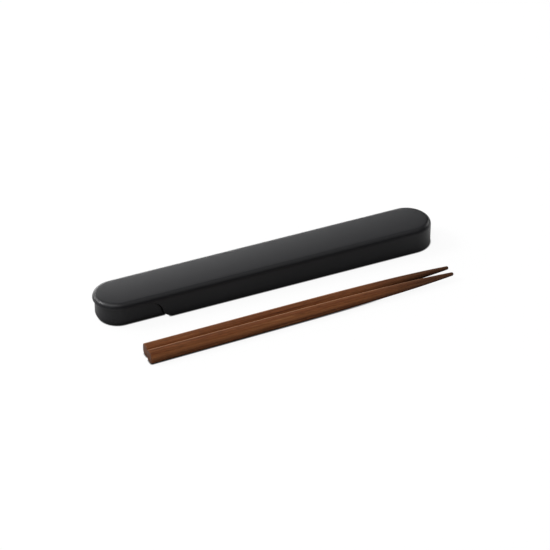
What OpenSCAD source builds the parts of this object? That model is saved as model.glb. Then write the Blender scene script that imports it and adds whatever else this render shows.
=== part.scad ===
// Portable chopstick case with its pair of chopsticks.
// A slim capsule-shaped tray carries the pair, and a cover slides over it from the right.
// The chopsticks lie on the table in front of the closed case.
// Millimetres. +Z is up, +X points to the cover's closed end, +Y points to the back.
// The origin is on the table, under the middle of the case.

/* [Case] */
// Length by which the closed case is longer than the chopsticks
end_room = 20; // [14:1:40]
// Width of the closed case
case_w = 27; // [23:0.1:36]
// Height of the closed case at the middle of its crowned top
case_h = 15; // [12:0.1:22]

/* [Cover] */
// Thickness of the skirt
skirt_t = 1.5; // [1.1:0.1:2]
// Height of the rim that overhangs the grip
rim_h = 3.3; // [2.4:0.1:4.5]
// Depth of the hollow in the roof, inside the thicker band along the rim
roof_hollow = 1.2; // [0.2:0.1:1.6]
// Width of the thicker band, from the skirt's inner face
rim_band = 1.6; // [0.8:0.1:3]
// Radius of the rounded top edge
top_r = 3; // [1:0.1:3.6]
// Rise of the crowned top, from its edge to its middle
crown_rise = 0.5; // [0.2:0.1:1]
// Height of the skirt's lower edge above the table
skirt_lift = 0.3; // [0.2:0.1:1]
// Height of the ledges on which the tray's flange runs
ledge_h = 1.2; // [0.8:0.1:2.5]

/* [Seam] */
// Length of the grip at its foot
grip_len = 36.8; // [30:0.1:60]
// Height of the foot, where the grip's end leaves the seam and goes straight down
foot_h = 1.2; // [0.8:0.1:3]
// Radius of the seam's upper arc, by which the grip's end leaves the rim
seam_upper_r = 8; // [5:0.1:9]
// Radius of the seam's lower arc, by which the skirt flares out to its lower edge
seam_lower_r = 6; // [4:0.1:10]
// Length by which the seam stands open, beyond the clearance
seam_open = 0.5; // [0:0.1:1]

/* [Tray] */
// Clearance between the tray and the cover
slide_gap = 0.3; // [0.2:0.05:0.5]
// Thickness of the tray's walls under the cover
wall_t = 1.4; // [1:0.1:2]
// Thickness of the tray's floor
floor_t = 1.6; // [1:0.1:2.5]
// Reach of the flange along the top of the walls
flange_w = 1; // [0.6:0.1:1.6]
// Height of that flange
flange_h = 1.5; // [1:0.1:2.5]
// Radius of the tray's lower edge under the cover
tub_r = 1.7; // [1:0.1:3]
// Depth of the grip's face behind the cover's outline
grip_recess = 1.1; // [0.5:0.1:1.3]
// Thickness of the grip's wall
grip_t = 1.6; // [1.2:0.1:2.4]
// Radius of the grip's lower edge
base_r = 3.5; // [2.5:0.1:4.5]

/* [Chopsticks] */
// Length of a chopstick
stick_len = 180; // [160:1:230]
// Width of its butt
stick_w = 6.2; // [5:0.1:7.5]
// Height of its butt
stick_h = 6.8; // [5:0.1:7.5]
// Diameter of its round tip
tip_d = 1.9; // [1.5:0.1:3]
// Thickness that it loses evenly along its length
even_taper = 0.9; // [0:0.1:2]
// How late the rest of the taper comes, as the power of the distance along the stick
taper_power = 5.8; // [2:0.1:8]
// Radius that rounds the butt's corners, as a part of half its width
corner_butt = 1.2; // [1.1:0.01:1.38]
// The same at the tip, where less than 1 makes a round section
corner_tip = 0.96; // [0.9:0.01:0.98]
// How late the corners are lost, as the power of the distance along the stick
corner_power = 2.6; // [1:0.1:4]
// Bevel of the butt's end
butt_bevel = 0.4; // [0.2:0.1:1.2]

/* [Chopsticks on the table] */
// Distance from the case's front to the far chopstick's axis at its butt
far_gap = 27.5; // [12:0.1:60]
// Gap between the two butts
pair_gap = 0.2; // [0.2:0.1:12]
// Distance of the far butt from the grip's end of the case
far_start = 12.5; // [0:0.1:30]
// Distance of the near butt from the grip's end of the case
near_start = 12.2; // [0:0.1:30]
// Turn of both chopsticks from the case's length
pair_turn = 0.85; // [0:0.05:3]

/* [Hidden] */
$fn = 96;
// The outline that every section is swept along, between the middles of its two round ends
case_len = stick_len + end_room;
straight = case_len - case_w;
half_w = case_w / 2;
// Heights and half widths that the cover and the tray share
rim_z = case_h - rim_h;
roof_z = rim_z + roof_hollow;
skirt_in = half_w - skirt_t;
tray_top = rim_z - slide_gap;
flange_z = tray_top - flange_h;
flange_half = skirt_in - slide_gap;
wall_half = flange_half - flange_w;
cavity_half = wall_half - wall_t;
grip_half = half_w - grip_recess;
pocket_half = grip_half - grip_t;
ledge_in = wall_half + slide_gap;
ledge_top = flange_z - slide_gap;
// The crown is an arc over the whole width, and the edge's arc touches it and the side
crown_r = (pow(half_w, 2) + pow(crown_rise, 2)) / (2 * crown_rise);
crown_z = case_h - crown_r;
edge_z = crown_z + sqrt(pow(crown_r - top_r, 2) - pow(half_w - top_r, 2));
edge_angle = atan2(edge_z - crown_z, half_w - top_r);
// The seam is two arcs that touch, the upper one at the rim and the lower one at the skirt's lower edge
foot_x = grip_len - case_len / 2;
lower_z = skirt_lift + seam_lower_r;
lower_x = foot_x + sqrt(pow(seam_lower_r, 2) - pow(lower_z - foot_h, 2));
upper_z = rim_z - seam_upper_r;
seam_tilt = asin((lower_z - upper_z) / (seam_upper_r + seam_lower_r));
upper_x = lower_x - (seam_upper_r + seam_lower_r) * cos(seam_tilt);
pocket_end = upper_x - seam_open - grip_t;
// Length past a cut's edge, and steps along an arc
past = 5;
arc_steps = 10;
taper_steps = 12;

// Points along an arc about a middle, from one angle to another
function arc(middle, radius, from, to) =
    [for (i = [0:arc_steps]) let (a = from + (to - from) * i / arc_steps) middle + radius * [cos(a), sin(a)]];

// A whole section from the half that lies at and beyond its middle line
function both(half) =
    concat(half, [for (i = [len(half) - 1:-1:0]) if (half[i][0] > 0) [-half[i][0], half[i][1]]]);

// Half of a tub's section: flat floor, rounded lower edge, upright wall
function tub(half, radius, low, high) =
    concat([[0, low]], arc([half - radius, low + radius], radius, -90, 0), [[half, high], [0, high]]);

// A chopstick's width or height at a part of its length, the radius that rounds it there, and the steps along it
function taper_at(butt, u) =
    butt - even_taper * u - (butt - even_taper - tip_d) * pow(u, taper_power);
function round_at(u) =
    taper_at(stick_w, u) / 2 * (corner_butt + (corner_tip - corner_butt) * pow(u, corner_power));
function step_at(i) = sin(90 * i / taper_steps);

// Outline of a chopstick from above or from the side, with its bevelled butt at the start
function stick_outline(butt) =
    let (half = concat(
        [[0, butt / 2 - butt_bevel], [butt_bevel, butt / 2]],
        [for (i = [1:taper_steps]) [stick_len * step_at(i), taper_at(butt, step_at(i)) / 2]]
    ))
    concat(half, [for (i = [len(half) - 1:-1:0]) [half[i][0], -half[i][1]]]);

// Sweeps half a section around the capsule outline
module capsule(half) {
    for (side = [-1, 1])
        translate([side * straight / 2, 0, 0])
            rotate([0, 0, -90 * side])
                rotate_extrude(angle = 180)
                    polygon(half);
    translate([-straight / 2, 0, 0])
        rotate([90, 0, 90])
            linear_extrude(straight)
                polygon(both(half));
}

// Carries a shape drawn in length and height through the whole width
module across() {
    translate([0, case_w, 0])
        rotate([90, 0, 0])
            linear_extrude(2 * case_w)
                children();
}

// The quarter of a disc that lies to the right of its middle and above it
module quarter(radius) {
    intersection() {
        circle(radius);
        square(2 * radius);
    }
}

// The grip's side of the seam, drawn in length and height, at a gap from the skirt and as far as its foot
module grip_side(gap, foot) {
    left = -case_len / 2 - past;
    touch_z = upper_z + (seam_upper_r - gap) * sin(seam_tilt);
    translate([left, touch_z - past])
        square([upper_x - left, rim_z - gap - touch_z + past]);
    translate([upper_x, upper_z])
        quarter(seam_upper_r - gap);
    difference() {
        translate([left, -past])
            square([foot - left, touch_z + past]);
        translate([lower_x, lower_z])
            circle(seam_lower_r + gap);
    }
}

// Moulded cover: crowned roof with a rounded edge, skirt on both sides and around the right end.
// Over the grip the skirt is cut away along the seam, and only the rim is left.
module cover() {
    section = concat(
        [[0, roof_z], [skirt_in - rim_band, roof_z], [skirt_in - rim_band, rim_z], [skirt_in, rim_z],
         [skirt_in, skirt_lift], [half_w, skirt_lift]],
        arc([half_w - top_r, edge_z], top_r, 0, edge_angle),
        arc([0, crown_z], crown_r, edge_angle, 90)
    );
    color("#1a1a1c") {
        difference() {
            capsule(section);
            across()
                grip_side(0, lower_x);
        }
        // Ledges inside both skirts, on which the tray's flange runs
        ledge_start = lower_x + slide_gap;
        for (side = [-1, 1])
            translate([ledge_start, side > 0 ? ledge_in : -skirt_in - skirt_t / 2, ledge_top - ledge_h])
                cube([straight / 2 - ledge_start, skirt_in + skirt_t / 2 - ledge_in, ledge_h]);
    }
}

// Moulded tray: a tub with a flange along its top, and the wider grip at its left end.
module tray() {
    section = concat(
        [[0, 0]], arc([wall_half - tub_r, tub_r], tub_r, -90, 0),
        [[wall_half, flange_z], [flange_half, flange_z], [flange_half, tray_top], [0, tray_top]]
    );
    color("#202023")
        difference() {
            union() {
                capsule(section);
                intersection() {
                    capsule(tub(grip_half, base_r, 0, tray_top));
                    across()
                        translate([-seam_open, 0])
                            grip_side(slide_gap, foot_x - slide_gap);
                }
            }
            capsule(tub(cavity_half, max(tub_r - wall_t, slide_gap), floor_t, tray_top + past));
            // The pocket widens the tub inside the grip, so that its wall keeps one thickness
            intersection() {
                capsule(tub(pocket_half, base_r - grip_t, floor_t, tray_top + past));
                translate([-case_len, -case_w, 0])
                    cube([case_len + pocket_end, 2 * case_w, case_h + 2 * past]);
            }
        }
}

// Wooden chopstick along +X from the middle of its butt: four-sided with rounded corners, round at its tip.
module chopstick() {
    tip_r = round_at(1);
    rounding = concat(
        [[0, 0]],
        [for (i = [0:taper_steps - 1]) [round_at(step_at(i)), (stick_len - tip_r) * step_at(i)]],
        arc([0, stick_len - tip_r], tip_r, 0, 90)
    );
    color("#7d4b2b")
        intersection() {
            translate([0, 0, -stick_h])
                linear_extrude(2 * stick_h)
                    polygon(stick_outline(stick_w));
            translate([0, stick_w, 0])
                rotate([90, 0, 0])
                    linear_extrude(2 * stick_w)
                        polygon(stick_outline(stick_h));
            rotate([0, 90, 0])
                rotate_extrude()
                    polygon(rounding);
        }
}

// The chopstick nearer the front
module near_chopstick() {
    translate([near_start - case_len / 2, -half_w - far_gap - stick_w - pair_gap, stick_h / 2])
        rotate([0, 0, pair_turn])
            chopstick();
}

// The chopstick between the near one and the case
module far_chopstick() {
    translate([far_start - case_len / 2, -half_w - far_gap, stick_h / 2])
        rotate([0, 0, pair_turn])
            chopstick();
}

tray();
cover();
near_chopstick();
far_chopstick();
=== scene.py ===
# Portable chopstick case with its pair of chopsticks, dressed for the camera.
# Metres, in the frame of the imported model: +Z is up, +X points to the cover's closed end.
import math

import bmesh
import bpy
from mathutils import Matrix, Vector


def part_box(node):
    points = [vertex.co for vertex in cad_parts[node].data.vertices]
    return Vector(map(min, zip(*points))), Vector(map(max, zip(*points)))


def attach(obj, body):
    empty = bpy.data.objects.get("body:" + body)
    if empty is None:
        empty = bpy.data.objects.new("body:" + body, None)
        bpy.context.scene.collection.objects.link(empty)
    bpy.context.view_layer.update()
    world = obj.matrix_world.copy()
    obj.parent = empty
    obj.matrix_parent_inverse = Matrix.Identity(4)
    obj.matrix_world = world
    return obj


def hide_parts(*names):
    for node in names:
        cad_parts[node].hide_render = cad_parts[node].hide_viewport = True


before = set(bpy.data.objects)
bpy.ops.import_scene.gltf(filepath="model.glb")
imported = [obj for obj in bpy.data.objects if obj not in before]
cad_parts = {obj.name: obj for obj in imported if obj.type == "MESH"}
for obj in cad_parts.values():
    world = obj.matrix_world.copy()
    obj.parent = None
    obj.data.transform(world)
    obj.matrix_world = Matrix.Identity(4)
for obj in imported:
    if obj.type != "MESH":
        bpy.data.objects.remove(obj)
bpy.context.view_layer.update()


# Tray
# One moulding in black ABS: a slim tub with a flange along its top, and a wider grip at its left end.
# The pair lies in the tub. The cover runs on the flange and hides all of the tray but the grip.
MM = 0.001
tray_low, tray_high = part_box("tray")
cover_low, cover_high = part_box("cover")
outline_half = cover_high.y
straight = cover_high.x - cover_low.x - 2 * outline_half
tray_top = tray_high.z
flange_half = tray_high.x - straight / 2
flange_reach = 1.0 * MM
flange_height = 1.5 * MM
flange_z = tray_top - flange_height
tub_half = flange_half - flange_reach
tub_edge = 1.7 * MM
tub_wall = 1.4 * MM
tub_floor = 1.6 * MM
grip_half = -tray_low.y
grip_length = 36.8 * MM
grip_edge = 3.5 * MM
grip_wall = 1.6 * MM
slide_gap = 0.3 * MM
moulded_edge = 0.25 * MM
moulded_steps = 3
tray_sharp_angle = 40
end_steps = 40
edge_steps = 10
hollow_steps = 6
# A solid that cuts another reaches this far past it, and points closer than the weld become one
beyond = 5 * MM
weld = 0.002 * MM

# The seam between the grip and the cover's skirt is two arcs that touch: the upper one leaves the rim, and
# the lower one flares out to the skirt's lower edge
seam_sweep = 8.0 * MM
seam_flare = 6.0 * MM
seam_open = 0.5 * MM
foot_x = cover_low.x + grip_length
foot_height = 1.2 * MM
rim_z = tray_top + slide_gap
seam_z = rim_z - seam_sweep
flare_z = cover_low.z + seam_flare
flare_x = foot_x + math.sqrt(seam_flare ** 2 - (flare_z - foot_height) ** 2)
seam_tilt = math.asin((flare_z - seam_z) / (seam_sweep + seam_flare))
seam_start = flare_x - (seam_sweep + seam_flare) * math.cos(seam_tilt)


def add(tree, kind, inputs=None, **settings):
    """Adds a node with its settings. An input is a value, or the socket that it is linked from."""
    node = tree.nodes.new(kind)
    for name, value in settings.items():
        setattr(node, name, value)
    for name, value in (inputs or {}).items():
        if isinstance(value, bpy.types.NodeSocket):
            tree.links.new(value, node.inputs[name])
        else:
            node.inputs[name].default_value = value
    return node


def linear(code):
    """Turns an sRGB hex colour into linear light, with full alpha."""
    shares = [int(code[i:i + 2], 16) / 255 for i in (1, 3, 5)]
    return tuple(s / 12.92 if s <= 0.04045 else ((s + 0.055) / 1.055) ** 2.4 for s in shares) + (1.0,)


def new_material(name):
    """Makes a material with an empty node tree."""
    material = bpy.data.materials.new(name)
    material.use_nodes = True
    material.node_tree.nodes.clear()
    return material


# Moulded ABS, black and satin: it gives a soft broad sheen, broken by the fine spark texture of the mould.
# That texture is about 0.05 mm in life, and drawn at 0.35 mm so that it shows. Flow of the plastic in the
# mould leaves slow changes in the gloss, some 25 mm across
spark_size = 0.35 * MM
spark_depth = 0.02 * MM
flow_size = 25 * MM
abs_dark = "#101011"
abs_light = "#17171a"
abs_black = new_material("moulded_abs_black")
nodes = abs_black.node_tree
place = add(nodes, "ShaderNodeTexCoord")
spark = add(nodes, "ShaderNodeTexNoise", {"Vector": place.outputs["Object"], "Scale": 1 / spark_size,
                                          "Detail": 2.0, "Roughness": 0.6})
flow = add(nodes, "ShaderNodeTexNoise", {"Vector": place.outputs["Object"], "Scale": 1 / flow_size,
                                         "Detail": 3.0, "Roughness": 0.5})
gloss = add(nodes, "ShaderNodeMapRange", {"Value": flow.outputs["Fac"], "From Min": 0.3, "From Max": 0.7,
                                          "To Min": 0.34, "To Max": 0.42})
shade = add(nodes, "ShaderNodeMix", {0: spark.outputs["Fac"], 6: linear(abs_dark), 7: linear(abs_light)},
            data_type="RGBA")
relief = add(nodes, "ShaderNodeBump", {"Height": spark.outputs["Fac"], "Strength": 0.08,
                                       "Distance": spark_depth})
surface = add(nodes, "ShaderNodeBsdfPrincipled", {"Base Color": shade.outputs[2],
                                                  "Roughness": gloss.outputs["Result"],
                                                  "Normal": relief.outputs["Normal"], "IOR": 1.46,
                                                  "Specular IOR Level": 0.24})
add(nodes, "ShaderNodeOutputMaterial", {"Surface": surface.outputs["BSDF"]})


def ring_grid(tree, outline, per_ring):
    """Adds a grid with one ring for each point of an outline, whose last point falls on its first.

    Gives the grid, and as fields the place of the outline's point and the number along the ring.
    """
    nudge = 0.001
    rings = add(tree, "GeometryNodeAttributeDomainSize", {"Geometry": outline})
    with_seam = add(tree, "ShaderNodeMath", {0: per_ring, 1: 1.0}, operation="ADD")
    grid = add(tree, "GeometryNodeMeshGrid", {"Vertices X": rings.outputs["Point Count"],
                                              "Vertices Y": with_seam.outputs[0]})
    index = add(tree, "GeometryNodeInputIndex")
    ring = add(tree, "ShaderNodeMath", {0: index.outputs[0], 1: with_seam.outputs[0]}, operation="DIVIDE")
    ring = add(tree, "ShaderNodeMath", {0: ring.outputs[0], 1: nudge}, operation="ADD")
    ring = add(tree, "ShaderNodeMath", {0: ring.outputs[0]}, operation="FLOOR")
    passed = add(tree, "ShaderNodeMath", {0: ring.outputs[0], 1: with_seam.outputs[0]}, operation="MULTIPLY")
    column = add(tree, "ShaderNodeMath", {0: index.outputs[0], 1: passed.outputs[0]}, operation="SUBTRACT")
    ring_place = add(tree, "GeometryNodeInputPosition")
    ring_place = add(tree, "GeometryNodeSampleIndex", {"Geometry": outline, "Value": ring_place.outputs[0],
                                                       "Index": ring.outputs[0]}, data_type="FLOAT_VECTOR")
    ring_place = add(tree, "ShaderNodeSeparateXYZ", {0: ring_place.outputs[0]})
    return grid.outputs["Mesh"], ring_place.outputs, column.outputs[0]


def close_grid(tree, grid, point, finish):
    """Puts a grid's points in place, joins them along the seam, and ends the tree with the finish."""
    shell = add(tree, "GeometryNodeSetPosition", {"Geometry": grid, "Position": point})
    closed = add(tree, "GeometryNodeMergeByDistance", {"Geometry": shell.outputs[0], "Distance": weld})
    smooth = add(tree, "GeometryNodeSetShadeSmooth", {"Geometry": closed.outputs[0]})
    real = add(tree, "GeometryNodeRealizeInstances", {"Geometry": smooth.outputs[0]})
    finished = add(tree, "GeometryNodeSetMaterial", {"Geometry": real.outputs[0], "Material": finish})
    add(tree, "NodeGroupOutput", {0: finished.outputs[0]})


# Sweeps half a section around the capsule outline: each point of the section, given as its distance from
# the middle line and its height, makes one ring of the solid
sweep = bpy.data.node_groups.new("capsule_sweep", "GeometryNodeTree")
sweep.interface.new_socket("Half section", in_out="INPUT", socket_type="NodeSocketGeometry")
sweep_length = sweep.interface.new_socket("Straight length", in_out="INPUT", socket_type="NodeSocketFloat")
sweep_steps = sweep.interface.new_socket("End steps", in_out="INPUT", socket_type="NodeSocketInt")
sweep_finish = sweep.interface.new_socket("Finish", in_out="INPUT", socket_type="NodeSocketMaterial")
sweep.interface.new_socket("Solid", in_out="OUTPUT", socket_type="NodeSocketGeometry")
given = add(sweep, "NodeGroupInput").outputs
per_ring = add(sweep, "ShaderNodeMath", {0: given["End steps"], 1: 2.0, 2: 2.0}, operation="MULTIPLY_ADD")
grid, ring_place, column = ring_grid(sweep, given["Half section"], per_ring.outputs[0])
column = add(sweep, "ShaderNodeMath", {0: column, 1: per_ring.outputs[0]}, operation="MODULO")
# The first half of a ring goes around the right end, and the other half around the left end
last_right = add(sweep, "ShaderNodeMath", {0: given["End steps"], 1: 0.5}, operation="ADD")
is_left = add(sweep, "ShaderNodeMath", {0: column.outputs[0], 1: last_right.outputs[0]},
              operation="GREATER_THAN")
end_points = add(sweep, "ShaderNodeMath", {0: given["End steps"], 1: 1.0}, operation="ADD")
right_points = add(sweep, "ShaderNodeMath", {0: is_left.outputs[0], 1: end_points.outputs[0]},
                   operation="MULTIPLY")
step = add(sweep, "ShaderNodeMath", {0: column.outputs[0], 1: right_points.outputs[0]}, operation="SUBTRACT")
share = add(sweep, "ShaderNodeMath", {0: step.outputs[0], 1: given["End steps"]}, operation="DIVIDE")
half_turns = add(sweep, "ShaderNodeMath", {0: share.outputs[0], 1: is_left.outputs[0]}, operation="ADD")
turn = add(sweep, "ShaderNodeMath", {0: half_turns.outputs[0], 1: math.pi, 2: -math.pi / 2},
           operation="MULTIPLY_ADD")
along = add(sweep, "ShaderNodeMath", {0: turn.outputs[0]}, operation="COSINE")
aside = add(sweep, "ShaderNodeMath", {0: turn.outputs[0]}, operation="SINE")
end_side = add(sweep, "ShaderNodeMath", {0: 0.5, 1: is_left.outputs[0]}, operation="SUBTRACT")
end_middle = add(sweep, "ShaderNodeMath", {0: end_side.outputs[0], 1: given["Straight length"]},
                 operation="MULTIPLY")
x = add(sweep, "ShaderNodeMath", {0: ring_place["X"], 1: along.outputs[0], 2: end_middle.outputs[0]},
        operation="MULTIPLY_ADD")
y = add(sweep, "ShaderNodeMath", {0: ring_place["X"], 1: aside.outputs[0]}, operation="MULTIPLY")
point = add(sweep, "ShaderNodeCombineXYZ", {0: x.outputs[0], 1: y.outputs[0], 2: ring_place["Z"]})
close_grid(sweep, grid, point.outputs[0], given["Finish"])


def plain_mesh(piece):
    """Puts what a piece's modifiers make into its own mesh, and removes them."""
    bpy.context.view_layer.update()
    seen = piece.evaluated_get(bpy.context.evaluated_depsgraph_get())
    made = bpy.data.meshes.new_from_object(seen)
    piece.modifiers.clear()
    piece.data = made
    return piece


def new_piece(name, points, edges, faces):
    """Makes an object from points, edges and faces, and links it to the scene."""
    mesh = bpy.data.meshes.new(name)
    mesh.from_pydata(points, edges, faces)
    piece = bpy.data.objects.new(name, mesh)
    bpy.context.scene.collection.objects.link(piece)
    return piece


def new_line(name, points):
    """Makes an object whose points are joined one after the other."""
    return new_piece(name, points, [(i, i + 1) for i in range(len(points) - 1)], [])


def capsule(name, half_section):
    """A solid with half a section swept around the capsule outline, from its top's middle to its base's."""
    piece = new_line(name, [(away, 0, height) for away, height in half_section])
    made = piece.modifiers.new("sweep", "NODES")
    made.node_group = sweep
    made[sweep_length.identifier] = straight
    made[sweep_steps.identifier] = end_steps
    made[sweep_finish.identifier] = abs_black
    return plain_mesh(piece)


def face_outwards(piece):
    """Turns the faces of a closed piece outwards."""
    turned = bmesh.new()
    turned.from_mesh(piece.data)
    bmesh.ops.recalc_face_normals(turned, faces=turned.faces)
    turned.to_mesh(piece.data)
    turned.free()
    return piece


def prism(name, outline):
    """A solid with an outline in length and height, carried through more than the whole width."""
    count = len(outline)
    points = [(x, side * 2 * outline_half, z) for side in (-1, 1) for x, z in outline]
    ends = [tuple(range(count))[::-1], tuple(range(count, 2 * count))]
    walls = [(i, (i + 1) % count, count + (i + 1) % count, count + i) for i in range(count)]
    return face_outwards(new_piece(name, points, [], ends + walls))


def merge_close(piece):
    """Merges the points of a piece that lie all but together, so that the next step finds clean faces."""
    merged = bmesh.new()
    merged.from_mesh(piece.data)
    bmesh.ops.remove_doubles(merged, verts=merged.verts, dist=weld)
    bmesh.ops.dissolve_degenerate(merged, edges=merged.edges, dist=weld)
    merged.to_mesh(piece.data)
    merged.free()


def combine(piece, other, how):
    """Joins another solid to a piece, cuts it away or keeps what both share, and removes the other."""
    merge_close(piece)
    merge_close(other)
    cut = piece.modifiers.new("combine", "BOOLEAN")
    cut.operation = how
    cut.solver = "EXACT"
    cut.object = other
    plain_mesh(piece)
    bpy.data.objects.remove(other)
    return piece


def give_material(piece, material):
    """Leaves a piece with one material, on its cut faces too."""
    piece.data.materials.clear()
    piece.data.materials.append(material)
    for polygon in piece.data.polygons:
        polygon.material_index = 0


def soften(piece, width, steps, angle):
    """Rounds a piece's edges that are sharper than an angle, as a mould does, and shades it smoothly."""
    merge_close(piece)
    for polygon in piece.data.polygons:
        polygon.use_smooth = True
    edge = piece.modifiers.new("edge", "BEVEL")
    edge.width = width
    edge.segments = steps
    edge.limit_method = "ANGLE"
    edge.angle_limit = math.radians(angle)
    edge.miter_outer = "MITER_ARC"
    even = piece.modifiers.new("even", "WEIGHTED_NORMAL")
    even.keep_sharp = True
    return plain_mesh(piece)


def arc(middle, radius, first, last, steps):
    """Points along an arc in a section, from one angle in degrees to another."""
    turns = [math.radians(first + (last - first) * i / steps) for i in range(steps + 1)]
    return [(middle[0] + radius * math.cos(t), middle[1] + radius * math.sin(t)) for t in turns]


def tub_half_section(half, edge, low, high, steps):
    """Half of a tub's section, from its top's middle over its side and rounded lower edge to its base's."""
    return [(0, high), (half, high)] + arc((half - edge, low + edge), edge, 0, -90, steps) + [(0, low)]


tub_section = [(0, tray_top), (flange_half, tray_top), (flange_half, flange_z)]
tub_section += tub_half_section(tub_half, tub_edge, 0, flange_z, edge_steps)[1:]
grip_section = tub_half_section(grip_half, grip_edge, 0, tray_top, edge_steps)
above_tray = tray_top + beyond
hollow_section = tub_half_section(tub_half - tub_wall, tub_edge - tub_wall, tub_floor, above_tray,
                                  hollow_steps)
pocket_section = tub_half_section(grip_half - grip_wall, grip_edge - grip_wall, tub_floor, above_tray,
                                  edge_steps)

# The grip ends along the seam, short of the skirt by the slide's gap and the seam's opening, and straight
# down at its foot. The pocket widens the tub inside it
foot_steps = 16
grip_end_steps = 24
foot_reach = seam_flare + slide_gap
foot_turn = math.degrees(math.acos((flare_x - foot_x + slide_gap) / foot_reach))
seam_turn = math.degrees(seam_tilt)
left_of_all = cover_low.x - beyond
grip_side = [(left_of_all, -beyond), (foot_x - slide_gap, -beyond)]
grip_side += arc((flare_x, flare_z), foot_reach, 180 + foot_turn, 180 + seam_turn, foot_steps)
grip_side += arc((seam_start, seam_z), seam_sweep - slide_gap, seam_turn, 90, grip_end_steps)[1:]
grip_side += [(seam_start, above_tray), (left_of_all, above_tray)]
grip_side = [(x - seam_open, z) for x, z in grip_side]
pocket_end = seam_start - seam_open - grip_wall
pocket_top = above_tray + beyond
pocket_side = [(left_of_all, -beyond), (pocket_end, -beyond), (pocket_end, pocket_top),
               (left_of_all, pocket_top)]
grip = combine(capsule("grip", grip_section), prism("grip_side", grip_side), "INTERSECT")
pocket = combine(capsule("pocket", pocket_section), prism("pocket_side", pocket_side), "INTERSECT")
tray = combine(capsule("tray_moulding", tub_section), grip, "UNION")
tray = combine(tray, capsule("hollow", hollow_section), "DIFFERENCE")
tray = combine(tray, pocket, "DIFFERENCE")
give_material(tray, abs_black)
soften(tray, moulded_edge, moulded_steps, tray_sharp_angle)
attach(tray, "tray_body")
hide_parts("tray")


# Cover
# One moulding in black ABS: a crowned roof with a rounded edge, and a skirt down both sides and around
# the right end. Over the grip the skirt is cut away along the seam, and only the rim overhangs.
crown_rise = 0.5 * MM
top_edge = 3.0 * MM
skirt_wall = 1.5 * MM
skirt_inner = outline_half - skirt_wall
skirt_round = 0.2 * MM
rim_band = 1.6 * MM
roof_hollow = 1.2 * MM
ledge_height = 1.2 * MM
cover_sharp_angle = 35
crown_radius = (outline_half ** 2 + crown_rise ** 2) / (2 * crown_rise)
crown_middle = cover_high.z - crown_radius
edge_z = crown_middle + math.sqrt((crown_radius - top_edge) ** 2 - (outline_half - top_edge) ** 2)
edge_turn = math.atan2(edge_z - crown_middle, outline_half - top_edge)
# Rows of points down a column, and shares of the outer and the inner wall at which a row lies
crown_rows = 8
round_rows = 16
lip_rows = 4
outer_wall_shares = (0.02, 0.08, 0.25, 0.5, 0.75, 1.0)
inner_wall_shares = (0.3, 0.7, 1.0)
# Where the outer face ends within the rounded edge, the edge's rows take this share of it
longest_round = 0.93


def outer_half(height):
    """Distance of the cover's outer face from the middle line at a height."""
    if height <= edge_z:
        return outline_half
    return outline_half - top_edge + math.sqrt(max(top_edge ** 2 - (height - edge_z) ** 2, 0))


def outer_point(length):
    """Point of the outer face at a length from the crown: over the rounded edge, then straight down."""
    turned = edge_turn - length / top_edge
    if turned >= 0:
        return outline_half - top_edge + top_edge * math.cos(turned), edge_z + top_edge * math.sin(turned)
    return outline_half, edge_z + turned * top_edge


def lower_edge(station, inside):
    """Length and height of a point that lies a distance inside the skirt from its lower edge."""
    kind, value = station
    if kind == "rim":
        return value, rim_z + inside
    if kind == "sweep":
        reach = seam_sweep + inside
        return seam_start + reach * math.sin(value), seam_z + reach * math.cos(value)
    if kind == "flare":
        reach = seam_flare - inside
        return flare_x - reach * math.cos(value), flare_z - reach * math.sin(value)
    return value, cover_low.z + inside


def column_points(station):
    """One column of the cover, from the roof's middle over the outside and the lower edge to the inside."""
    outside_x, outside_z = lower_edge(station, skirt_round)
    column = []
    for i in range(crown_rows):
        turned = math.pi / 2 + (edge_turn - math.pi / 2) * i / crown_rows
        height = crown_middle + crown_radius * math.sin(turned)
        column.append((outside_x, crown_radius * math.cos(turned), height))
    if outside_z > edge_z:
        full = top_edge * (edge_turn - math.asin((outside_z - edge_z) / top_edge))
    else:
        full = top_edge * edge_turn + edge_z - outside_z
    rounded = min(top_edge * edge_turn, longest_round * full)
    lengths = [rounded * i / round_rows for i in range(round_rows + 1)]
    lengths += [rounded + (full - rounded) * s for s in outer_wall_shares]
    column += [(outside_x,) + outer_point(length) for length in lengths]
    # The lower edge is rounded to the outside and to the inside
    quarter = [math.pi / 2 * i / lip_rows for i in range(lip_rows + 1)]
    for turned in quarter[1:]:
        x, z = lower_edge(station, skirt_round * (1 - math.sin(turned)))
        column.append((x, outer_half(z) - skirt_round * (1 - math.cos(turned)), z))
    inner_round = min(skirt_round, max(rim_z - lower_edge(station, 0)[1], 0))
    for turned in quarter:
        x, z = lower_edge(station, inner_round * (1 - math.cos(turned)))
        column.append((x, skirt_inner + skirt_round * (1 - math.sin(turned)), z))
    inside_x, inside_z = lower_edge(station, inner_round)
    inside_z = min(inside_z, rim_z)
    column += [(inside_x, skirt_inner, inside_z + (rim_z - inside_z) * s) for s in inner_wall_shares]
    band = skirt_inner - rim_band
    roof_z = rim_z + roof_hollow
    return column + [(inside_x, band, rim_z), (inside_x, band, roof_z), (inside_x, 0, roof_z)]


def end_columns(station, first_turn):
    """The cover's columns around the round end at a station, from an angle on."""
    middle = station[1]
    column = column_points(station)
    turns = [math.pi * i / end_steps + first_turn for i in range(1, end_steps)]
    return [[(middle + h * math.cos(t), h * math.sin(t), z) for x, h, z in column] for t in turns]


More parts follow.
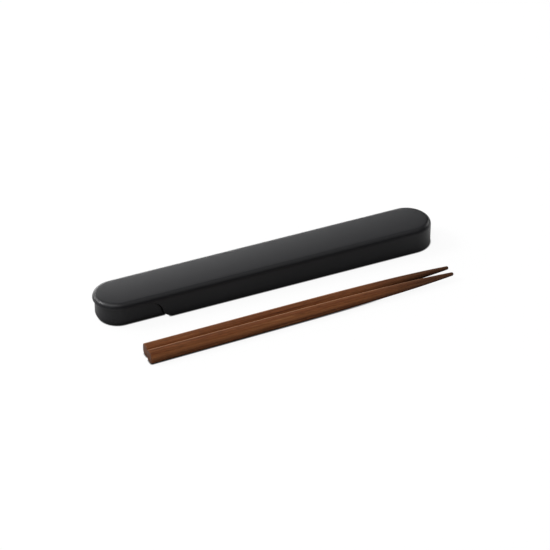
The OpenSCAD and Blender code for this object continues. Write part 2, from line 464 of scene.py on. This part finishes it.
# Stations along the straight sides, from left to right
rim_steps = 3
seam_steps = 28
skirt_steps = 8
arc_turn = math.pi / 2 - seam_tilt
stations = [("rim", -straight / 2 + (seam_start + straight / 2) * i / rim_steps) for i in range(rim_steps)]
stations += [("sweep", arc_turn * i / seam_steps) for i in range(seam_steps)]
stations += [("flare", seam_tilt + arc_turn * i / seam_steps) for i in range(seam_steps)]
stations += [("skirt", flare_x + (straight / 2 - flare_x) * i / skirt_steps) for i in range(skirt_steps + 1)]
columns = end_columns(("skirt", straight / 2), -math.pi / 2)
columns += [column_points(s) for s in reversed(stations)]
columns += end_columns(("rim", -straight / 2), math.pi / 2)
columns += [[(x, -h, z) for x, h, z in column_points(s)] for s in stations]
rows = len(columns[0])
quads = []
for i in range(len(columns)):
    here = i * rows
    after = (i + 1) % len(columns) * rows
    quads += [(here + j, here + j + 1, after + j + 1, after + j) for j in range(rows - 1)]
cover = new_piece("cover_moulding", [p for column in columns for p in column], [], quads)
merge_close(cover)
face_outwards(cover)

# The ledges inside both skirts, on which the tray's flange runs
ledge_top = flange_z - slide_gap
ledge_inner = tub_half + slide_gap
ledge_outer = skirt_inner + skirt_wall / 2
ledge_start = flare_x + slide_gap
shaped = bmesh.new()
shaped.from_mesh(cover.data)
for side in (-1, 1):
    corners = bmesh.ops.create_cube(shaped, size=1)["verts"]
    for corner in corners:
        corner.co.x = straight / 2 if corner.co.x > 0 else ledge_start
        corner.co.y = side * (ledge_outer if corner.co.y * side > 0 else ledge_inner)
        corner.co.z = ledge_top if corner.co.z > 0 else ledge_top - ledge_height
    ledge_edges = list(dict.fromkeys(edge for corner in corners for edge in corner.link_edges))
    bmesh.ops.bevel(shaped, geom=ledge_edges, offset=moulded_edge, segments=moulded_steps, profile=0.5,
                    affect="EDGES")
for face in shaped.faces:
    face.smooth = True
for edge in shaped.edges:
    edge.smooth = edge.calc_face_angle(0) < math.radians(cover_sharp_angle)
shaped.to_mesh(cover.data)
shaped.free()
give_material(cover, abs_black)
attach(cover, "cover_body")
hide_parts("cover")


# Chopsticks
# A pair of plain hardwood sticks, oiled: each is planed square, its corners eased, and turned round towards
# a slim tip. The pair lies loose on the table in front of the case, side by side, the tips to the right.
stick_length = 180 * MM
stick_width = 6.2 * MM
stick_height = 6.8 * MM
tip_width = 1.9 * MM
even_taper = 0.9 * MM
taper_power = 6.2
squareness = 3.2
rounding_power = 4.5
butt_round = 0.4 * MM
stick_turn = math.radians(0.85)
stick_around = 64
near_start = 12.2 * MM
far_start = 12.5 * MM
far_gap = 27.5 * MM
pair_gap = 0.2 * MM
far_y = cover_low.y - far_gap
near_y = far_y - stick_width - pair_gap
near_butt = Vector((cover_low.x + near_start, near_y, stick_height / 2))
far_butt = Vector((cover_low.x + far_start, far_y, stick_height / 2))

# Oiled rosewood, planed along the grain: dark and light streaks run the whole length, fine pores follow them,
# and the oil leaves a low sheen. Pores are about 0.1 mm across in life, and drawn at 0.3 mm and 5 mm long so
# that they show
streak_length = 60 * MM
streak_width = 1.4 * MM
pore_length = 5 * MM
pore_width = 0.3 * MM
pore_depth = 0.05 * MM
wood_shades = ((0.3, "#432313"), (0.42, "#5c311b"), (0.5, "#663f25"), (0.58, "#683b22"), (0.7, "#7a5234"))
pore_colour = "#2f1a0f"
# Painted shade for the flat tops
top_shade_tint = "#dcdad8"
# Painted light for the upper front side
front_light_colour = "#8e5a38"
# Painted highlight for the back upper edge
edge_highlight_colour = "#a47c60"
tip_colour = "#33241b"
end_grain_colour = "#2e1d13"
rosewood = new_material("oiled_rosewood")
nodes = rosewood.node_tree
place = add(nodes, "ShaderNodeTexCoord")
# Turns the pattern with the pair, so that the grain follows the sticks
grain_place = add(nodes, "ShaderNodeMapping", {"Vector": place.outputs["Object"],
                                               "Rotation": (0, 0, -stick_turn)})
streak_place = add(nodes, "ShaderNodeMapping", {"Vector": grain_place.outputs[0],
                                                "Scale": (1 / streak_length, 1 / streak_width,
                                                          1 / streak_width)})
streaks = add(nodes, "ShaderNodeTexNoise", {"Vector": streak_place.outputs[0], "Scale": 1.0, "Detail": 4.0,
                                            "Roughness": 0.6, "Distortion": 0.4})
pore_place = add(nodes, "ShaderNodeMapping", {"Vector": grain_place.outputs[0],
                                              "Scale": (1 / pore_length, 1 / pore_width, 1 / pore_width)})
pores = add(nodes, "ShaderNodeTexNoise", {"Vector": pore_place.outputs[0], "Scale": 1.0, "Detail": 2.0,
                                          "Roughness": 0.5})
wood = add(nodes, "ShaderNodeValToRGB", {0: streaks.outputs["Fac"]})
ramp = wood.color_ramp.elements
for element, (position, code) in zip((ramp[0], ramp[1]), (wood_shades[0], wood_shades[-1])):
    element.position = position
    element.color = linear(code)
for position, code in wood_shades[1:-1]:
    ramp.new(position).color = linear(code)
pore_share = add(nodes, "ShaderNodeMapRange", {"Value": pores.outputs["Fac"], "From Min": 0.52,
                                               "From Max": 0.68, "To Max": 0.55})
pored = add(nodes, "ShaderNodeMix", {0: pore_share.outputs["Result"], 6: wood.outputs["Color"],
                                     7: linear(pore_colour)}, data_type="RGBA")
# Painted shade: the flat tops are made darker than the sides
facing = add(nodes, "ShaderNodeNewGeometry")
facing = add(nodes, "ShaderNodeSeparateXYZ", {0: facing.outputs["Normal"]})
top_share = add(nodes, "ShaderNodeMapRange", {"Value": facing.outputs["Z"], "From Min": 0.75,
                                              "From Max": 0.97})
top_shaded = add(nodes, "ShaderNodeMix", {0: top_share.outputs["Result"], 6: pored.outputs[2],
                                     7: linear(top_shade_tint)}, data_type="RGBA", blend_type="MULTIPLY")
# Painted light: the upper half of the front side is made lighter than its lower half
grain = add(nodes, "ShaderNodeSeparateXYZ", {0: grain_place.outputs[0]})
front_side = add(nodes, "ShaderNodeMapRange", {"Value": facing.outputs["Y"], "From Min": -0.8,
                                               "From Max": -0.96})
high_share = add(nodes, "ShaderNodeMapRange", {"Value": grain.outputs["Z"], "From Min": 2.8 * MM,
                                               "From Max": 4.8 * MM, "To Max": 0.6})
front_share = add(nodes, "ShaderNodeMath", {0: front_side.outputs["Result"], 1: high_share.outputs["Result"]},
                  operation="MULTIPLY")
front_lit = add(nodes, "ShaderNodeMix", {0: front_share.outputs[0], 6: top_shaded.outputs[2],
                                       7: linear(front_light_colour)}, data_type="RGBA")
# Painted highlight: the back upper edge is made palest, where it would catch the light from behind
back_side = add(nodes, "ShaderNodeMapRange", {"Value": facing.outputs["Y"], "From Min": 0.05, "From Max": 0.5,
                                              "To Max": 0.7})
up_share = add(nodes, "ShaderNodeMapRange", {"Value": facing.outputs["Z"], "From Min": 0.45,
                                             "From Max": 0.75})
back_share = add(nodes, "ShaderNodeMath", {0: back_side.outputs["Result"], 1: up_share.outputs["Result"]},
                 operation="MULTIPLY")
edge_lit = add(nodes, "ShaderNodeMix", {0: back_share.outputs[0], 6: front_lit.outputs[2],
                                    7: linear(edge_highlight_colour)}, data_type="RGBA")
# The tips are darker and greyer, more so towards the point
tip_share = add(nodes, "ShaderNodeMapRange", {"Value": grain.outputs["X"], "From Min": 20 * MM,
                                              "From Max": 95 * MM, "To Max": 0.75},
                interpolation_type="SMOOTHSTEP")
darkened = add(nodes, "ShaderNodeMix", {0: tip_share.outputs["Result"], 6: edge_lit.outputs[2],
                                        7: linear(tip_colour)}, data_type="RGBA")
# The end grain of the butts drinks more oil than the sides, and is darker
end_grain = add(nodes, "ShaderNodeMapRange", {"Value": facing.outputs["X"], "From Min": -0.6,
                                              "From Max": -0.95, "To Max": 0.7})
colour = add(nodes, "ShaderNodeMix", {0: end_grain.outputs["Result"], 6: darkened.outputs[2],
                                      7: linear(end_grain_colour)}, data_type="RGBA")
sheen = add(nodes, "ShaderNodeMapRange", {"Value": streaks.outputs["Fac"], "From Min": 0.3, "From Max": 0.7,
                                          "To Min": 0.42, "To Max": 0.32})
relief = add(nodes, "ShaderNodeBump", {"Height": pore_share.outputs["Result"], "Strength": 0.35,
                                       "Distance": pore_depth}, invert=True)
surface = add(nodes, "ShaderNodeBsdfPrincipled", {"Base Color": colour.outputs[2],
                                                  "Roughness": sheen.outputs["Result"],
                                                  "Normal": relief.outputs["Normal"], "IOR": 1.45,
                                                  "Specular IOR Level": 0.05})
add(nodes, "ShaderNodeOutputMaterial", {"Surface": surface.outputs["BSDF"]})

# Lofts a stick along its side outline: each point of it, given as the distance from the butt and the share
# of the section that is left there, makes one ring, four-sided with soft corners, and round at the tip
loft = bpy.data.node_groups.new("stick_loft", "GeometryNodeTree")
loft.interface.new_socket("Side outline", in_out="INPUT", socket_type="NodeSocketGeometry")
loft_inputs = {}
for name, kind, value in (("Length", "Float", stick_length), ("Butt width", "Float", stick_width),
                          ("Tip width", "Float", tip_width), ("Even taper", "Float", even_taper),
                          ("Taper power", "Float", taper_power),
                          ("Height share", "Float", stick_height / stick_width),
                          ("Squareness", "Float", squareness), ("Rounding power", "Float", rounding_power),
                          ("Turn", "Float", stick_turn), ("Around", "Int", stick_around),
                          ("Finish", "Material", rosewood)):
    socket = loft.interface.new_socket(name, in_out="INPUT", socket_type="NodeSocket" + kind)
    loft_inputs[socket.identifier] = value
loft_butt = loft.interface.new_socket("Butt middle", in_out="INPUT", socket_type="NodeSocketVector")
loft.interface.new_socket("Stick", in_out="OUTPUT", socket_type="NodeSocketGeometry")
given = add(loft, "NodeGroupInput").outputs
grid, ring_place, column = ring_grid(loft, given["Side outline"], given["Around"])
around_share = add(loft, "ShaderNodeMath", {0: column, 1: given["Around"]}, operation="DIVIDE")
turn = add(loft, "ShaderNodeMath", {0: around_share.outputs[0], 1: 2 * math.pi}, operation="MULTIPLY")
part = add(loft, "ShaderNodeMath", {0: ring_place["X"], 1: given["Length"]}, operation="DIVIDE",
           use_clamp=True)
# Half the width: it falls evenly along the stick, and then fast towards the tip
even = add(loft, "ShaderNodeMath", {0: given["Butt width"], 1: given["Even taper"]}, operation="SUBTRACT")
late = add(loft, "ShaderNodeMath", {0: even.outputs[0], 1: given["Tip width"]}, operation="SUBTRACT")
late_share = add(loft, "ShaderNodeMath", {0: part.outputs[0], 1: given["Taper power"]}, operation="POWER")
late = add(loft, "ShaderNodeMath", {0: late.outputs[0], 1: late_share.outputs[0]}, operation="MULTIPLY")
lost = add(loft, "ShaderNodeMath", {0: given["Even taper"], 1: part.outputs[0], 2: late.outputs[0]},
           operation="MULTIPLY_ADD")
width = add(loft, "ShaderNodeMath", {0: given["Butt width"], 1: lost.outputs[0]}, operation="SUBTRACT")
half = add(loft, "ShaderNodeMath", {0: width.outputs[0], 1: 0.5}, operation="MULTIPLY")
half = add(loft, "ShaderNodeMath", {0: half.outputs[0], 1: ring_place["Y"]}, operation="MULTIPLY")
# A power makes the section square or round, and the section turns into a circle towards the tip
across = add(loft, "ShaderNodeMath", {0: turn.outputs[0]}, operation="COSINE")
upward = add(loft, "ShaderNodeMath", {0: turn.outputs[0]}, operation="SINE")
rounding = add(loft, "ShaderNodeMath", {0: part.outputs[0], 1: given["Rounding power"]}, operation="POWER")
height = add(loft, "ShaderNodeMix", {0: rounding.outputs[0], 2: given["Height share"], 3: 1.0})
square = add(loft, "ShaderNodeMix", {0: rounding.outputs[0], 2: given["Squareness"], 3: 2.0})
power = add(loft, "ShaderNodeMath", {0: 2.0, 1: square.outputs[0]}, operation="DIVIDE")
far_across = add(loft, "ShaderNodeMath", {0: across.outputs[0]}, operation="ABSOLUTE")
far_across = add(loft, "ShaderNodeMath", {0: far_across.outputs[0], 1: power.outputs[0]}, operation="POWER")
across_side = add(loft, "ShaderNodeMath", {0: across.outputs[0]}, operation="SIGN")
far_upward = add(loft, "ShaderNodeMath", {0: upward.outputs[0]}, operation="ABSOLUTE")
far_upward = add(loft, "ShaderNodeMath", {0: far_upward.outputs[0], 1: power.outputs[0]}, operation="POWER")
upward_side = add(loft, "ShaderNodeMath", {0: upward.outputs[0]}, operation="SIGN")
y = add(loft, "ShaderNodeMath", {0: far_across.outputs[0], 1: across_side.outputs[0]}, operation="MULTIPLY")
y = add(loft, "ShaderNodeMath", {0: y.outputs[0], 1: half.outputs[0]}, operation="MULTIPLY")
z = add(loft, "ShaderNodeMath", {0: far_upward.outputs[0], 1: upward_side.outputs[0]}, operation="MULTIPLY")
z = add(loft, "ShaderNodeMath", {0: z.outputs[0], 1: height.outputs[0]}, operation="MULTIPLY")
z = add(loft, "ShaderNodeMath", {0: z.outputs[0], 1: half.outputs[0]}, operation="MULTIPLY")
point = add(loft, "ShaderNodeCombineXYZ", {0: ring_place["X"], 1: y.outputs[0], 2: z.outputs[0]})
point = add(loft, "ShaderNodeVectorRotate", {"Vector": point.outputs[0], "Angle": given["Turn"]},
            rotation_type="Z_AXIS")
point = add(loft, "ShaderNodeVectorMath", {0: point.outputs[0], 1: given["Butt middle"]}, operation="ADD")
close_grid(loft, grid, point.outputs[0], given["Finish"])

# The side outline: the butt's flat end, its rounded edge, the body, and the round tip
butt_rows = (0, 0.35, 0.6)
quarter_steps = 8
body_steps = 70
butt_share = 2 * butt_round / stick_width
tip_round = tip_width / 2
tip_start = stick_length - tip_round
quarter = [math.pi / 2 * i / quarter_steps for i in range(quarter_steps + 1)]
side_outline = [(0, share) for share in butt_rows]
side_outline += [(butt_round * (1 - math.cos(t)), 1 - butt_share * (1 - math.sin(t))) for t in quarter]
for i in range(1, body_steps + 1):
    side_outline.append((butt_round + (tip_start - butt_round) * math.sin(math.pi / 2 * i / body_steps), 1))
side_outline += [(tip_start + tip_round * math.sin(t), math.cos(t)) for t in quarter[1:]]
for name, body, butt in (("near_chopstick", "near_stick_body", near_butt),
                         ("far_chopstick", "far_stick_body", far_butt)):
    stick = new_line(name + "_wood", [(along, share, 0) for along, share in side_outline])
    made = stick.modifiers.new("loft", "NODES")
    made.node_group = loft
    for identifier, value in loft_inputs.items():
        made[identifier] = value
    made[loft_butt.identifier] = butt
    plain_mesh(stick)
    give_material(stick, rosewood)
    face_outwards(stick)
    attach(stick, body)
    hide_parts(name)


# Floor
# A sheet of matt white paper under the object, larger than the camera sees. It keeps a soft shadow, and the
# eye and the gloss see part of it at full white, as in a picture on a white ground.
floor_half = 3.0
floor_white = "#d6d6d6"
white_to_camera = 0.92
white_to_gloss = 0.75
contact_reach = 0.8 * MM
gloss_reach = 32 * MM
shade_power = 3.0
floor = new_piece("floor", [(-floor_half, -floor_half, 0), (floor_half, -floor_half, 0),
                            (floor_half, floor_half, 0), (-floor_half, floor_half, 0)], [], [(0, 1, 2, 3)])
paper = new_material("matt_white_paper")
nodes = paper.node_tree
ray = add(nodes, "ShaderNodeLightPath")
reflected = add(nodes, "ShaderNodeMath", {0: ray.outputs["Is Glossy Ray"],
                                          1: ray.outputs["Is Transmission Ray"]}, operation="MAXIMUM")
reflected = add(nodes, "ShaderNodeMath", {0: reflected.outputs[0], 1: white_to_gloss}, operation="MULTIPLY")
white_share = add(nodes, "ShaderNodeMath", {0: ray.outputs["Is Camera Ray"], 1: white_to_camera,
                                            2: reflected.outputs[0]}, operation="MULTIPLY_ADD")
# Close to the object the sheet is shaded: in a narrow line to the eye, and wider in the light it sends back
reach = add(nodes, "ShaderNodeMath", {0: ray.outputs["Is Camera Ray"], 1: contact_reach - gloss_reach,
                                      2: gloss_reach}, operation="MULTIPLY_ADD")
open_sky = add(nodes, "ShaderNodeAmbientOcclusion", {"Distance": reach.outputs[0]}, samples=16)
open_sky = add(nodes, "ShaderNodeMath", {0: open_sky.outputs["AO"], 1: shade_power}, operation="POWER")
white_share = add(nodes, "ShaderNodeMath", {0: white_share.outputs[0], 1: open_sky.outputs[0]},
                  operation="MULTIPLY")
shaded = add(nodes, "ShaderNodeMix", {0: open_sky.outputs[0], 6: linear("#000000"),
                                      7: linear(floor_white)}, data_type="RGBA")
matt = add(nodes, "ShaderNodeBsdfDiffuse", {"Color": shaded.outputs[2]})
white = add(nodes, "ShaderNodeEmission", {"Color": linear("#ffffff"), "Strength": 1.0})
sheet = add(nodes, "ShaderNodeMixShader", {0: white_share.outputs[0], 1: matt.outputs[0],
                                           2: white.outputs[0]})
add(nodes, "ShaderNodeOutputMaterial", {"Surface": sheet.outputs[0]})
floor.data.materials.append(paper)


# Light
# Softboxes in a dark studio, most of them behind the object and to its left, so that the top shines softly
# and the front edge falls into shade. Each is given by its turn from +X and its height in degrees, its
# width and height in metres, and its brightness, where 1 is as bright as pure white.
lamp_distance = 3.0
studio_glow = 0.03
softboxes = (
    ("back", 95, 30, 2.6, 1.3, 1.1),
    ("back_low", 86, 7, 2.6, 0.6, 9.5),
    ("back_right", 62, 33, 1.0, 1.4, 0.75),
    ("back_left", 128, 18, 1.0, 0.9, 10.0),
    ("left", 154, 38, 1.0, 1.0, 28.0),
    ("left_front", 197, 62, 1.4, 1.2, 4.5),
    ("low_left", 205, 38, 1.2, 1.2, 2.0),
    ("front_left", 224, 68, 1.3, 1.2, 3.2),
    ("front", 265, 64, 1.2, 1.0, 1.2),
    ("high_left", 125, 64, 1.8, 1.2, 2.0),
    ("overhead", 0, 68, 2.2, 1.1, 1.3),
    ("front_right", 302, 46, 1.2, 0.9, 1.4),
    ("right", 14, 20, 1.4, 1.0, 4.0),
)


def aim(name, data, target, distance, around, above):
    """Adds a lamp or a camera at a distance from a target, facing it. Its turn and height are in degrees."""
    around = math.radians(around)
    above = math.radians(above)
    level = math.cos(above)
    outward = Vector((math.cos(around) * level, math.sin(around) * level, math.sin(above)))
    aimed = bpy.data.objects.new(name, data)
    aimed.location = target + outward * distance
    aimed.rotation_euler = outward.to_track_quat("Z", "Y").to_euler()
    bpy.context.scene.collection.objects.link(aimed)
    return aimed


for name, around, above, wide, tall, brightness in softboxes:
    lamp = bpy.data.lights.new(name, "AREA")
    lamp.shape = "RECTANGLE"
    lamp.size = wide
    lamp.size_y = tall
    lamp.energy = math.pi * wide * tall * brightness
    aim(name, lamp, Vector(), lamp_distance, around, above)
world = bpy.data.worlds.new("dark_studio")
world.use_nodes = True
nodes = world.node_tree
nodes.nodes.clear()
studio = add(nodes, "ShaderNodeBackground", {"Color": linear("#ffffff"), "Strength": studio_glow})
add(nodes, "ShaderNodeOutputWorld", {"Surface": studio.outputs[0]})
bpy.context.scene.world = world


# Camera
# Looks down along the case from its front, a little from its left, at the photograph's angle and framing.
# Its turn is from +X, as a softbox's is.
camera_turn = -114.65
camera_height = 33.92
camera_distance = 1236.2 * MM
camera_target = Vector((0.68, -10.816, 7.413)) * MM
image_width = 550
focal_pixels = 2280
view = bpy.data.cameras.new("camera")
view.sensor_width = 36
view.lens = focal_pixels / image_width * view.sensor_width
bpy.context.scene.camera = aim("camera", view, camera_target, camera_distance, camera_turn, camera_height)
bpy.context.scene.view_settings.view_transform = "Standard"
